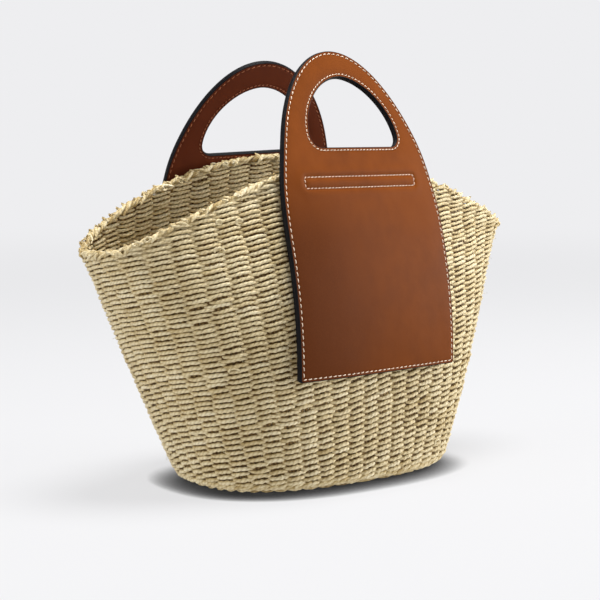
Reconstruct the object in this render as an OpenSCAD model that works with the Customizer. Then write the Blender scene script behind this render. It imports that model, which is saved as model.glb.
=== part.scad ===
/* [Woven body] */
// Length of the mouth from end to end
mouth_len = 428; // [410:1:455]
// Depth of the mouth from front to back
mouth_depth = 115; // [110:1:120]
// Length of the base, just above its rounded edge
base_len = 251; // [240:1:260]
// Depth of the base, just above its rounded edge
base_depth = 159; // [154:1:164]
// Height of the rim at the middle of the long sides
rim_mid_h = 275; // [270:1:278]
// Height of the rim at its left end
rim_left_h = 200; // [190:1:208]
// Height of the rim at its right end
rim_right_h = 211; // [205:1:215]
// How far the long walls belly out at half height
belly = 17; // [14:0.5:20]
// How far the two ends hollow in at half height
waist = 2.6; // [2:0.2:7]
// Radius of the edge where the base turns up into the wall
base_r = 12; // [10:0.5:14]
// Thickness of the woven wall
wall_t = 7; // [6:0.5:8]
// Height of the folded border on top of the wall
border_h = 8; // [7:0.5:9]
// Share by which the mouth narrows towards its right end
mouth_taper = 0.22; // [0.18:0.01:0.24]
// How far the base sits towards the right end
base_shift = 4; // [0:0.5:6]
// How far the mouth sits towards the left end
mouth_shift = 2.5; // [0:0.5:3]

/* [Leather panels] */
// Width of a panel below its rounded top
panel_w = 174; // [170:1:178]
// Height of the panel's lower edge above the ground
panel_low_h = 96; // [90:1:105]
// Thickness of the stiffening board
board_t = 3.0; // [2.5:0.1:3.5]
// Thickness of each leather skin
skin_t = 1.2; // [1:0.1:1.4]
// Gap between the front panel's lining and the straw
front_gap = 1.0; // [1:0.1:1.5]
// Gap between the back panel's lining and the straw
back_gap = 2.2; // [2:0.1:2.6]
// Length of the stitched box that fixes a panel to the wall
fixing_len = 124; // [110:1:130]
// Height of that stitched box
fixing_w = 9.5; // [8:0.5:11]
// Distance from the hand hole down to the middle of the stitched box
fixing_drop = 29.5; // [27:0.5:33]

/* [Handles] */
// Height of the front hand hole's lower edge above the ground
hole_low_h = 280; // [278:1:284]
// Height of a handle above the lower edge of its hand hole
handle_h = 85; // [80:1:90]
// Height of the half ellipse that rounds the tongue's top
crown_h = 160; // [150:1:170]
// Width of the hand hole
hole_w = 99; // [92:1:102]
// Height of the hand hole
hole_h = 62; // [58:1:64]
// Corner radius at the bottom of the hand hole
hole_r = 10.5; // [8:0.5:12]
// How far below the hand hole the handle bends
flex_drop = 6.5; // [6:0.5:8]

/* [Stitching] */
// Distance of the stitching from the leather's edge
seam_inset = 2.6; // [2.4:0.1:3]
// Width of the thread
thread_w = 0.8; // [0.6:0.1:1]
// How far the thread stands out of the leather
thread_h = 0.6; // [0.4:0.1:0.8]

/* [How each side sits] */
// Turn of the front panel towards the mouth's right end, in degrees
front_turn = 5.4; // [5:0.1:5.8]
// Lean of the front handle towards the mouth, in degrees
front_lean = 20.8; // [19:0.1:22]
// Sideways shift of the front hand hole in its handle
front_hole_shift = 3.5; // [0:0.5:4]
// Turn of the back panel, in degrees
back_turn = 7.7; // [7:0.1:8]
// Lean of the back handle, in degrees
back_lean = 24; // [22:0.1:25]
// Sideways shift of the back panel
back_shift = -18; // [-20:1:-15]
// How much lower the back panel sits
back_drop = 4.5; // [3:0.5:5]
// Tilt of the back panel in its own plane, in degrees
back_roll = 2.5; // [1.5:0.1:2.5]

/* [Hidden] */

STRAW = [0.80, 0.72, 0.54];
TAN = [0.62, 0.33, 0.15];
INNER_TAN = [0.30, 0.14, 0.09];
EDGE_BLACK = [0.06, 0.06, 0.07];
THREAD = [0.90, 0.82, 0.70];

// The wall: its plan is a squared ellipse whose exponent grows from the base to the mouth.
base_square = 2.5;
mouth_square = 2.83;
depth_power = 1.49;
rim_left_power = 1.71;
rim_right_power = 1.45;
base_taper = 0.02;
round_steps = 4;
wall_steps = 10;
plan_steps = 96;

// A side is [shift, drop, turn, roll, lean, shift of the hole, mirrored, gap behind the panel].
FRONT = [0, 0, front_turn, 0, front_lean, front_hole_shift, 0, front_gap];
BACK = [back_shift, back_drop, back_turn, back_roll, back_lean, 0, 1, back_gap];

// Each layer of the tongue lies between two distances from the board's middle.
half_board = board_t / 2;
half_stack = half_board + skin_t;
run_gap = 0.4;
skin_gap = 0.3;
// Where the fixed layers end below the bending axis, so that the handle's lower end turns freely.
board_stop = half_board + run_gap;
skin_stop = half_stack + run_gap;
panel_steps = 14;
arch_steps = 24;
arch_power = 1.11;
crown_low = handle_h - crown_h;

function mix(a, b, s) = a + (b - a) * s;
function side_of(v) = v < 0 ? -1 : 1;
function half_len(s) = mix(base_len, mouth_len, s) / 2 - waist * sin(180 * s);
function half_depth(s) =
    mix(base_depth, mouth_depth, pow(s, depth_power)) / 2 + belly * sin(180 * s);
function square_at(s) = mix(base_square, mouth_square, s);
function taper_at(s, x) = 1 - mix(base_taper, mouth_taper, s) * sin(90 * x / half_len(s));
// How far a level of the wall sits towards the right end.
function shift_at(s) = mix(base_shift, -mouth_shift, s);
// Height of the rim over a point at this share of the half length, below zero on the left.
function rim_over(part) =
    let (share = min(abs(part), 1))
    part < 0 ? mix(rim_mid_h, rim_left_h, pow(share, rim_left_power))
             : mix(rim_mid_h, rim_right_h, pow(share, rim_right_power));
function rim_h(t) = rim_over(side_of(cos(t)) * pow(abs(cos(t)), 2 / mouth_square));

// A point of the wall: t is the angle in plan, z the height, inset the depth in from the outside.
function wall_pt(t, z, inset) =
    let (
        s = max(z, wall_t) / rim_h(t),
        power = 2 / square_at(s),
        x = side_of(cos(t)) * (half_len(s) - inset) * pow(abs(cos(t)), power),
        y = side_of(sin(t)) * (half_depth(s) - inset) * pow(abs(sin(t)), power)
    )
    [x + shift_at(s), y * taper_at(s, x), z];

// Half the wall's depth at a distance x along the bag and a height z.
function wall_y(x, z) =
    let (
        s = z / rim_over(2 * (x + mouth_shift) / mouth_len),
        n = square_at(s),
        across = x - shift_at(s)
    )
    half_depth(s) * pow(1 - pow(abs(across) / half_len(s), n), 1 / n) * taper_at(s, across);

// Closed ring of one cross-section swept round the plan. flip picks the other diagonal of each quad.
module swept_ring(rings, flip = false) {
    n = len(rings[0]);
    m = len(rings);
    polyhedron(
        points = [for (ring = rings) each ring],
        faces = [
            for (i = [0 : m - 1], j = [0 : n - 1])
                let (a = i * n, b = (i + 1) % m * n, k = (j + 1) % n)
                each flip
                    ? [[a + j, a + k, b + k], [a + j, b + k, b + j]]
                    : [[a + j, a + k, b + j], [a + k, b + k, b + j]]
        ]
    );
}

// The wall's cross-section as [inset, height, share of the straight height].
WALL_SECTION = concat(
    [for (k = [0 : round_steps]) let (a = 90 * k / round_steps)
        [base_r * (1 - sin(a)), base_r * (1 - cos(a)), 0]],
    [for (k = [1 : wall_steps]) [0, base_r, k / wall_steps]],
    [for (k = [wall_steps : -1 : 1]) [wall_t, base_r, k / wall_steps]],
    [for (k = [round_steps : -1 : 0]) let (a = 90 * k / round_steps)
        [base_r - (base_r - wall_t) * sin(a), base_r - (base_r - wall_t) * cos(a), 0]]
);
// The border's cross-section as [share of the wall's thickness, share of the border's height].
BORDER_SECTION = [
    [0, 0], [0.04, 0.3], [0.18, 0.6], [0.42, 0.87], [0.72, 1],
    [1.02, 0.9], [1.22, 0.68], [1.29, 0.38], [1, 0]
];

module base_weave() {
    color(STRAW)
        linear_extrude(height = wall_t)
            polygon([for (i = [0 : plan_steps - 1])
                let (p = wall_pt(360 * i / plan_steps, 0, base_r)) [p[0], p[1]]]);
}

module wall_weave() {
    color(STRAW)
        swept_ring([
            for (i = [0 : plan_steps - 1])
                let (t = 360 * i / plan_steps, straight = rim_h(t) - border_h - base_r)
                [for (p = WALL_SECTION) wall_pt(t, p[1] + p[2] * straight, p[0])]
        ]);
}

module rim_border() {
    color(STRAW)
        swept_ring([
            for (i = [0 : plan_steps - 1])
                let (t = 360 * i / plan_steps, foot = rim_h(t) - border_h)
                [for (p = BORDER_SECTION) wall_pt(t, foot + p[1] * border_h, p[0] * wall_t)]
        ], flip = true);
}

// Height of a side's bending axis, and its distance from the bag's middle plane.
function flex_h(side) = hole_low_h - side[1] - flex_drop * cos(side[4]);
function mid_offset(side) = side[7] + skin_t + half_board;
function flex_y(side) = wall_y(side[0], flex_h(side)) + mid_offset(side);

// Puts a side's parts in place. They are drawn round the bending axis, with -Y outwards.
module on_side(side) {
    mirror([0, side[6], 0])
        translate([side[0], -flex_y(side), flex_h(side)])
            rotate([0, 0, side[2]])
                rotate([0, -side[3], 0])
                    children();
}

// A point of a panel as [distance out, height], at a height z over the bending axis and a
// distance w out from the board's middle.
function panel_pt(side, z, w) =
    let (
        y0 = wall_y(side[0], flex_h(side) + z),
        slope = wall_y(side[0], flex_h(side) + z + 0.5) - wall_y(side[0], flex_h(side) + z - 0.5),
        along = sqrt(1 + slope * slope)
    )
    [y0 + mid_offset(side) - flex_y(side) + w / along, z - w * slope / along];
// One face of a panel, from its top edge down to its lower edge.
function panel_line(side, w, top) =
    let (low = panel_low_h - side[1] - flex_h(side))
    [for (i = [0 : panel_steps])
        panel_pt(side, i == 0 ? -top : mix(-skin_stop, low, i / panel_steps), w)];
function line_len(line, i) = i == 0 ? 0 : line_len(line, i - 1) + norm(line[i] - line[i - 1]);
// Half width of the tongue at a distance v above the lower edge of its hand hole.
function half_width(v) =
    v < crown_low ? panel_w / 2 : panel_w / 2 * sqrt(1 - pow((v - crown_low) / crown_h, 2));

module panel_outline(line, top, inset) {
    last = len(line) - 1;
    right = [for (i = [0 : last])
        [half_width(-flex_drop - top - line_len(line, i)) - inset,
            line[i][1] + (i == last ? inset : 0)]];
    polygon(concat(right, [for (i = [last : -1 : 0]) [-right[i][0], right[i][1]]]));
}

// A layer of the panel between distances w0 and w1 from its middle, cut to a 2-D outline.
module panel_layer(side, w0, w1, top) {
    inner = panel_line(side, w0, top);
    face = concat(panel_line(side, w1, top), [for (i = [panel_steps : -1 : 0]) inner[i]]);
    on_side(side)
        intersection() {
            rotate([90, 0, 90])
                linear_extrude(height = panel_w * 2, center = true)
                    polygon([for (p = face) [-p[0], p[1]]]);
            rotate([90, 0, 0])
                linear_extrude(height = panel_w, center = true)
                    children();
        }
}

module panel_sheet(side, w0, w1, top) {
    panel_layer(side, w0, w1, top)
        panel_outline(panel_line(side, 0, top), top, 0);
}

module panel_seam(side) {
    line = panel_line(side, 0, skin_stop);
    panel_layer(side, half_stack, half_stack + thread_h, skin_stop)
        difference() {
            panel_outline(line, skin_stop, seam_inset);
            translate([0, 0.01])
                panel_outline(line, skin_stop, seam_inset + thread_w);
        }
}

module box_outline(l, w, r) {
    polygon([
        for (q = [0 : 3], k = [0 : 4])
            let (a = 90 * q + 22.5 * k, sx = q == 0 || q == 3 ? 1 : -1, sy = q < 2 ? 1 : -1)
            [sx * (l / 2 - r) + r * cos(a), sy * (w / 2 - r) + r * sin(a)]
    ]);
}

module fixing_seam(side) {
    corner = fixing_w / 3;
    panel_layer(side, half_stack, half_stack + thread_h, skin_stop)
        translate([0, (flex_drop - fixing_drop) * cos(side[4])])
            difference() {
                box_outline(fixing_len, fixing_w, corner);
                box_outline(fixing_len - 2 * thread_w, fixing_w - 2 * thread_w, corner - thread_w);
            }
}

// Outline of the handle above the bending axis, drawn with the axis at v = 0.
module handle_outline(inset, foot) {
    a = panel_w / 2 - inset;
    b = crown_h - inset;
    low = asin((foot - flex_drop - crown_low) / b);
    polygon([for (k = [0 : 2 * arch_steps])
        let (t = mix(low, 180 - low, k / (2 * arch_steps)))
        [a * cos(t), b * sin(t) + crown_low + flex_drop]]);
}

// The hand hole, grown by g: a slightly pointed arch on a band with rounded lower corners.
module hole_outline(shift, g) {
    rx = hole_w / 2;
    ry = hole_h - hole_r;
    translate([shift, flex_drop + hole_r])
        polygon(concat(
            [for (k = [0 : arch_steps]) let (t = 180 * k / arch_steps)
                [(rx + g) * side_of(cos(t)) * pow(abs(cos(t)), arch_power),
                 (ry + g) * pow(abs(sin(t)), arch_power)]],
            [for (k = [1 : 6]) let (t = 180 + 15 * k)
                [-rx + hole_r + (hole_r + g) * cos(t), (hole_r + g) * sin(t)]],
            [for (k = [0 : 5]) let (t = 270 + 15 * k)
                [rx - hole_r + (hole_r + g) * cos(t), (hole_r + g) * sin(t)]]
        ));
}

// A flat layer of the handle between distances w0 and w1 from the board's middle.
module handle_layer(side, w0, w1) {
    on_side(side)
        rotate([-side[4], 0, 0])
            rotate([90, 0, 0])
                translate([0, 0, w0])
                    linear_extrude(height = w1 - w0)
                        children();
}

module handle_sheet(side, w0, w1, foot) {
    handle_layer(side, w0, w1)
        difference() {
            handle_outline(0, foot);
            hole_outline(side[5], 0);
        }
}

module handle_board(side) {
    handle_sheet(side, -half_board, half_board, 0);
    // The board's lower end is a round about the bending axis, a hair inside the board's faces.
    on_side(side)
        rotate([0, 90, 0])
            cylinder(h = 2 * half_width(-flex_drop) - 1, r = half_board - 0.05, center = true, $fn = 48);
}

module handle_seam(side) {
    handle_layer(side, half_stack, half_stack + thread_h)
        difference() {
            handle_outline(seam_inset, skin_gap);
            handle_outline(seam_inset + thread_w, skin_gap - 0.01);
        }
}

module hole_seam(side) {
    handle_layer(side, half_stack, half_stack + thread_h)
        difference() {
            hole_outline(side[5], seam_inset + thread_w);
            hole_outline(side[5], seam_inset);
        }
}

module panel_board(side) {
    color(EDGE_BLACK)
        panel_sheet(side, -half_board, half_board, board_stop);
}

module panel_leather(side) {
    color(TAN)
        panel_sheet(side, half_board, half_stack, skin_stop);
}

module panel_lining(side) {
    color(INNER_TAN)
        panel_sheet(side, -half_stack, -half_board, skin_stop);
}

module handle_leather(side) {
    color(TAN)
        handle_sheet(side, half_board, half_stack, skin_gap);
}

module handle_lining(side) {
    color(INNER_TAN)
        handle_sheet(side, -half_stack, -half_board, skin_gap);
}

module front_panel_board() panel_board(FRONT);
module front_panel_leather() panel_leather(FRONT);
module front_panel_lining() panel_lining(FRONT);
module front_panel_stitching() color(THREAD) panel_seam(FRONT);
module front_fixing_stitching() color(THREAD) fixing_seam(FRONT);
module front_handle_board() color(EDGE_BLACK) handle_board(FRONT);
module front_handle_leather() handle_leather(FRONT);
module front_handle_lining() handle_lining(FRONT);
module front_handle_stitching() color(THREAD) handle_seam(FRONT);
module front_hole_stitching() color(THREAD) hole_seam(FRONT);
module back_panel_board() panel_board(BACK);
module back_panel_leather() panel_leather(BACK);
module back_panel_lining() panel_lining(BACK);
module back_panel_stitching() color(THREAD) panel_seam(BACK);
module back_fixing_stitching() color(THREAD) fixing_seam(BACK);
module back_handle_board() color(EDGE_BLACK) handle_board(BACK);
module back_handle_leather() handle_leather(BACK);
module back_handle_lining() handle_lining(BACK);
module back_handle_stitching() color(THREAD) handle_seam(BACK);
module back_hole_stitching() color(THREAD) hole_seam(BACK);

base_weave();
wall_weave();
rim_border();
front_panel_board();
front_panel_leather();
front_panel_lining();
front_panel_stitching();
front_fixing_stitching();
front_handle_board();
front_handle_leather();
front_handle_lining();
front_handle_stitching();
front_hole_stitching();
back_panel_board();
back_panel_leather();
back_panel_lining();
back_panel_stitching();
back_fixing_stitching();
back_handle_board();
back_handle_leather();
back_handle_lining();
back_handle_stitching();
back_hole_stitching();
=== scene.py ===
"""A woven straw beach bag with two leather handles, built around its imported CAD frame.

Lengths are in millimetres and angles in degrees, as in the CAD source, until a mesh is made.
The wall, the panels and the handles follow the same formulas as the CAD solids they stand for.
"""

import math

import bpy
import numpy as np
from mathutils import Matrix, Vector
from mathutils.geometry import delaunay_2d_cdt


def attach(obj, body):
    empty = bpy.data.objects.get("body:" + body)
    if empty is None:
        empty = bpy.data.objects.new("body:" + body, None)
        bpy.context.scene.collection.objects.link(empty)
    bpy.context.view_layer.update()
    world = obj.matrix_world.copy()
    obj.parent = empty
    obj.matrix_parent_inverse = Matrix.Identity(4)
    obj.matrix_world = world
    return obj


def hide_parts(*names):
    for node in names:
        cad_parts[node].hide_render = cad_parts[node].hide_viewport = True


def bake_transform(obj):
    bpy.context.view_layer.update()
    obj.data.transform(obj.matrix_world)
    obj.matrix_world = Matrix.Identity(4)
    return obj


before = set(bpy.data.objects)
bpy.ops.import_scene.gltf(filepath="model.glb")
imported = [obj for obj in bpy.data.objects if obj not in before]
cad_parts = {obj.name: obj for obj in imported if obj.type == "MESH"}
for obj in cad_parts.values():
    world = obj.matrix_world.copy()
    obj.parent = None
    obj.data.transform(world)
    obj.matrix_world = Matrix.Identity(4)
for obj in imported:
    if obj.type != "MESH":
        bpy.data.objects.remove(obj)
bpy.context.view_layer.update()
MM = 0.001
SEED = 41

# The woven body, as in the CAD source.
MOUTH_LEN, MOUTH_DEPTH = 428, 115
BASE_LEN, BASE_DEPTH = 251, 159
RIM_MID, RIM_LEFT, RIM_RIGHT = 275, 200, 211
BELLY, WAIST = 17, 2.6
BASE_R, WALL_T, BORDER_H = 12, 7, 8
MOUTH_TAPER, BASE_TAPER = 0.22, 0.02
BASE_SHIFT, MOUTH_SHIFT = 4, -2.5
BASE_SQUARE, MOUTH_SQUARE = 2.5, 2.83
DEPTH_POWER, LEFT_POWER, RIGHT_POWER = 1.49, 1.71, 1.45

# The weave: its stakes and rows, the cord, and how far the wall flares out below the rim.
STAKES, ROWS, BANDS = 48, 64, 7
LOW_PITCH, TOP_PITCH = 4.95, 3.65
STEPS, SIDES = 12, 8
CORD_R, BASE_CORD_R = 1.62, 1.6
FLARE, FLARE_FROM = 1.4, 26
BLUNT, BASE_BLUNT = 0.45, 0.62

# The rows sag towards both ends by a share of the rim's own fall, and the low ones run down to the right.
# They stop short of the floor and of the border.
SAG_LOW, SAG_TOP, RUN_DOWN, RUN_FROM = 0.05, 0.16, 0.11, -40
ROW_CLEAR_LOW, ROW_CLEAR_TOP = 1.2, 0.35 * BORDER_H

# One stitch: its lean to one side, its rise in row pitches, and half its height in row pitches.
SKEW, THIN_END = 0.15, 0.12
SLANT, TILT, RIPPLE = 0.3, 0.06, 0.02
TALL, TALL_OUT, TALL_IN = 0.3, 0.08, 0.03

# How the weave strays. A drift is carried from row to row, and a stray is new for every stitch.
DRIFT_KEPT, DRIFT_UP, DRIFT_LATE = 0.92, 0.13, 0.04
STRAY_UP, STRAY_LATE, STRAY_DEEP, STRAY_THICK, STRAY_TALL = 0.12, 0.26, 0.2, 0.08, 0.05
CRINKLE = 0.1
STITCH_TONE, STITCH_TONE_STRAY = 0.6, 0.07
HAIRS, LOOSE_KNOTS = 170, 26

# The border: its cords, how deep and high they lie and wind, and how often half a stake's width of it has a
# crossing, a curl or a stub.
BORDER_CORD_R, BORDER_IN, BORDER_LOW = 1.42, 0.6, 3.4
BORDER_SWING, BORDER_CLIMB = 1.9, 1.4
CROSSINGS, CURLS, STUBS = 0.5, 0.55, 0.12

# The base: the row pitch of its mat, how far in from the wall's face the mat ends, and the row at its edge.
MAT_PITCH, MAT_IN = 4.9, 0.7 * BASE_R
EDGE_ROW_H, EDGE_ROW_IN, EDGE_ROW_CLIMB = 4.2, 2.6, 1.9

# The leather tongues, as in the CAD source.
PANEL_W, PANEL_LOW, CORNER_R = 174, 96, 2.2
BOARD_T, SKIN_T = 3.0, 1.2
HALF_BOARD = BOARD_T / 2
HALF_STACK = HALF_BOARD + SKIN_T
HOLE_LOW, HANDLE_H, CROWN_H = 280, 85, 160
HOLE_W, HOLE_H, HOLE_R = 99, 62, 10.5
ARCH_POWER = 1.11
FLEX_DROP = 6.5
FIXING_LEN, FIXING_W, FIXING_DROP = 124, 9.5, 29.5
ROLL_LEFT, ROLL_RIGHT, ROLL_FROM = 3.6, 1.8, 28

# Details of the tongues. A ring has its distance in from the outline and its level off the middle surface.
FIXING_H = FLEX_DROP - FIXING_DROP
FIXING_CORNER_R = 2.4
OUTLINE_STEP, HOLE_STEP, FIXING_STEP = 2.2, 1.8, 1.9
SEAM_INSET = 2.6
SEAM_ROWS = (1.4, 2.0, 2.6, 3.2, 3.9, 5.2)
FIXING_ROWS = (-1.6, -0.8, 0, 0.8, 1.6, 3.0)
EDGE_ROOM, BOX_ROOM_OUT, BOX_ROOM_IN = 6.2, 4.2, 2.4
SKIN_INSET, SKIN_SPACING = 0.75, 3.4
BOARD_INSET, BOARD_SPACING = 0.35, 8.0
SKIN_RINGS = ((0.28, HALF_STACK - 0.08), (0.06, HALF_STACK - 0.4), (0, HALF_STACK - 0.8), (0, HALF_BOARD))
BOARD_RINGS = tuple((inset, level * HALF_BOARD) for inset, level in
                    ((-0.12, 0.75), (-0.3, 0.3), (-0.3, -0.3), (-0.12, -0.75)))
THREAD_R, STITCH_LEAN, STITCH_DIP = 0.42, 0.13, 0.3
STITCH_LIFT, FIXING_LIFT = 0.34, 0.4
LONG_STITCH, SHORT_STITCH = (5.0, 3.4), (3.7, 2.6)

# The camera and the studio. The camera was fitted to the photo's outlines together with the bag's shape.
CAMERA_YAW, CAMERA_PITCH, CAMERA_DISTANCE = math.radians(36.41), math.radians(6.13), 1380.93
CAMERA_TARGET = (-10.44, 0, 148.91)
LENS, SENSOR = 96, 36
OVERHEAD, FROM_BELOW = 0.3, 0.95


def mix(a, b, s):
    return a + (b - a) * s


def smooth(x):
    x = np.clip(x, 0, 1)
    return x * x * (3 - 2 * x)


def unit(v):
    return v / np.maximum(np.linalg.norm(v, axis=-1, keepdims=True), 1e-12)


def bow(a, power):
    """A number to a power, with its sign kept."""
    return np.sign(a) * np.abs(a) ** power


def hill(x, width):
    """A bump of height 1 at 0 that falls away on both sides."""
    return np.exp(-((x / width) ** 2))


def running(steps):
    """The running total of some steps, from 0."""
    return np.concatenate([[0], np.cumsum(steps)])


def run_along(points):
    """How far along an open line each of its points lies."""
    return running(np.linalg.norm(np.diff(points, axis=0), axis=1))


# ---------- the shape of the wall

def half_len(s):
    return mix(BASE_LEN, MOUTH_LEN, s) / 2 - WAIST * np.sin(np.pi * s)


def half_depth(s):
    return mix(BASE_DEPTH, MOUTH_DEPTH, s**DEPTH_POWER) / 2 + BELLY * np.sin(np.pi * s)


def square_at(s):
    return mix(BASE_SQUARE, MOUTH_SQUARE, s)


def taper_at(s, x):
    return 1 - mix(BASE_TAPER, MOUTH_TAPER, s) * np.sin(np.pi / 2 * x / half_len(s))


def rim_over(part):
    """Height of the rim over a point at this share of the half length, below zero on the left."""
    share = np.minimum(np.abs(part), 1)
    left = mix(RIM_MID, RIM_LEFT, share**LEFT_POWER)
    right = mix(RIM_MID, RIM_RIGHT, share**RIGHT_POWER)
    return np.where(np.asarray(part) < 0, left, right)


def rim_h(t):
    """Height of the rim at an angle in plan."""
    return rim_over(bow(np.cos(t), 2 / MOUTH_SQUARE))


def wall_pt(t, z, inset):
    """A point of the wall: t is the angle in plan, z the height, inset the depth in from outside."""
    t, z, inset = np.broadcast_arrays(*(np.asarray(a, float) for a in (t, z, inset)))
    s = np.clip(np.maximum(z, WALL_T) / rim_h(t), 0, 1.03)
    power = 2 / square_at(s)
    x = (half_len(s) - inset) * bow(np.cos(t), power)
    y = (half_depth(s) - inset) * bow(np.sin(t), power)
    return np.stack([x + mix(BASE_SHIFT, MOUTH_SHIFT, s), y * taper_at(s, x), z], -1)


def round_in(z):
    """How far the rounded lower edge of the wall lies in from its straight face."""
    low = np.clip(z, 0, BASE_R)
    return BASE_R - np.sqrt(np.maximum(BASE_R**2 - (BASE_R - low) ** 2, 0))


def wall_frame(t, z):
    """Outer surface point, outward normal and upward direction of the wall."""
    def at(t, z):
        return wall_pt(t, z, round_in(z))
    e, h = 0.004, 0.6
    around = unit(at(t + e, z) - at(t - e, z))
    up = at(t, np.minimum(z + h, rim_h(t))) - at(t, np.maximum(z - h, 0.05))
    normal = unit(np.cross(around, up))
    return at(t, z), normal, unit(np.cross(normal, around))


def wall_y(x, z):
    """Half the wall's depth at a distance x along the bag and a height z."""
    s = z / rim_over(2 * (x - MOUTH_SHIFT) / MOUTH_LEN)
    n = square_at(s)
    across = x - mix(BASE_SHIFT, MOUTH_SHIFT, s)
    return half_depth(s) * (1 - (np.abs(across) / half_len(s)) ** n) ** (1 / n) * taper_at(s, across)


# Stakes stand at equal shares of the way round at each level, so their angle is looked up.
LEVELS = np.linspace(0, 1, 21)
ANGLES = np.linspace(-np.pi, np.pi, 1441)
SHARES = np.linspace(0, 1, 1441)


def shares_round(level):
    """Share of the way round the wall at each of ANGLES, at a share of the rim's height."""
    p = wall_pt(ANGLES, level * rim_h(ANGLES), 0)
    run = run_along(p)
    return run / run[-1]


ANGLE_OF = np.array([np.interp(SHARES, shares_round(level), ANGLES) for level in LEVELS])


def stake_angle(u, level):
    """Angle in plan of stake coordinate u at a share of the rim's height."""
    share = np.mod(u / STAKES, 1) * (len(SHARES) - 1)
    row = np.clip(level, 0, 1) * (len(LEVELS) - 1)
    i = np.minimum(share.astype(int), len(SHARES) - 2)
    j = np.minimum(row.astype(int), len(LEVELS) - 2)
    low = mix(ANGLE_OF[j, i], ANGLE_OF[j, i + 1], share - i)
    high = mix(ANGLE_OF[j + 1, i], ANGLE_OF[j + 1, i + 1], share - i)
    return mix(low, high, row - j)


# ---------- meshes

def make_mesh(name, points, quads, tris, materials, tone, uvs=None, slots=None):
    """A mesh object from arrays, with its points in millimetres."""
    mesh = bpy.data.meshes.new(name)
    loops = np.concatenate([quads.ravel(), tris.ravel()])
    sizes = np.concatenate([np.full(len(quads), 4), np.full(len(tris), 3)])
    mesh.vertices.add(len(points))
    mesh.vertices.foreach_set("co", (points * MM).ravel())
    mesh.loops.add(len(loops))
    mesh.loops.foreach_set("vertex_index", loops)
    mesh.polygons.add(len(sizes))
    mesh.polygons.foreach_set("loop_start", running(sizes)[:-1])
    mesh.polygons.foreach_set("loop_total", sizes)
    if slots is not None:
        mesh.polygons.foreach_set("material_index", slots)
    mesh.update(calc_edges=True)
    mesh.polygons.foreach_set("use_smooth", np.ones(len(sizes), bool))
    mesh.attributes.new("tone", "FLOAT", "POINT").data.foreach_set("value", tone)
    if uvs is not None:
        mesh.uv_layers.new(name="along").data.foreach_set("uv", uvs.ravel())
    mesh.validate()
    obj = bpy.data.objects.new(name, mesh)
    bpy.context.scene.collection.objects.link(obj)
    for material in materials:
        mesh.materials.append(material)
    return obj


class Tubes:
    """Collects swept strands into one mesh."""

    def __init__(self, sides=SIDES, lobe=0.09, lay=11.0, gap_shade=0.36):
        self.sides, self.count = sides, 0
        self.lobe, self.lay, self.gap_shade = lobe, lay, gap_shade
        self.points, self.tones, self.quads, self.uvs = [], [], [], []

    def add(self, centre, normal, r_out, r_up, tone=0.5, closed=False):
        """Sweeps an ellipse of half size r_out along normal and r_up across it. lobe gives it two plies that
        turn once in each lay, and the sides that face its neighbours are darkened with painted shade."""
        centre = np.asarray(centre, float)
        n, k = len(centre), self.sides
        if closed:
            along = unit(np.roll(centre, -1, 0) - np.roll(centre, 1, 0))
        else:
            along = unit(np.gradient(centre, axis=0))
        out = unit(normal - along * np.sum(normal * along, -1, keepdims=True))
        side = np.cross(along, out)
        a = 2 * np.pi * np.arange(k) / k
        r_out, r_up = (np.broadcast_to(r, n)[:, None, None] for r in (r_out, r_up))
        run = run_along(centre)
        ply = 1 + self.lobe * np.cos(2 * (a[None] - 2 * np.pi * run[:, None] / self.lay))
        outward = out[:, None] * np.cos(a)[None, :, None] * r_out
        upward = side[:, None] * np.sin(a)[None, :, None] * r_up
        self.points.append((centre[:, None] + (outward + upward) * ply[..., None]).reshape(-1, 3))
        # Painted shade on the sides of the strand that face the neighbouring strands.
        gap = self.gap_shade * (1 - np.abs(np.cos(a)))
        self.tones.append((np.broadcast_to(tone, n)[:, None] - gap[None]).ravel())
        i = np.arange(n if closed else n - 1)[:, None]
        j = np.arange(k)[None]
        here, ahead = i * k, (i + 1) % n * k
        over = (j + 1) % k
        quads = np.stack(np.broadcast_arrays(here + j, ahead + j, ahead + over, here + over), -1)
        self.quads.append(quads.reshape(-1, 4) + self.count)
        u1, u2 = run[i] / 10, (run[i] + run[-1] / (n - 1)) / 10
        v1, v2 = j / k, (j + 1) / k
        corners = np.stack(np.broadcast_arrays(u1, v1, u2, v1, u2, v2, u1, v2), -1)
        self.uvs.append(corners.reshape(-1, 2))
        if not closed:
            for first, order in ((0, -1), (n - 1, 1)):
                rim = self.count + first * k + np.arange(k)[::order]
                cap = np.array([[rim[0], rim[m], rim[m + 1], rim[m + 2]] for m in range(1, k - 2, 2)])
                self.quads.append(cap)
                self.uvs.append(np.zeros((4 * len(cap), 2)))
        self.count += n * k

    def make(self, name, material):
        lists = self.points, self.quads, self.tones, self.uvs
        points, quads, tones, uvs = (np.concatenate(parts) for parts in lists)
        return make_mesh(name, points, quads, np.zeros((0, 3), int), [material], tones, uvs)


# ---------- materials

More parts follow.
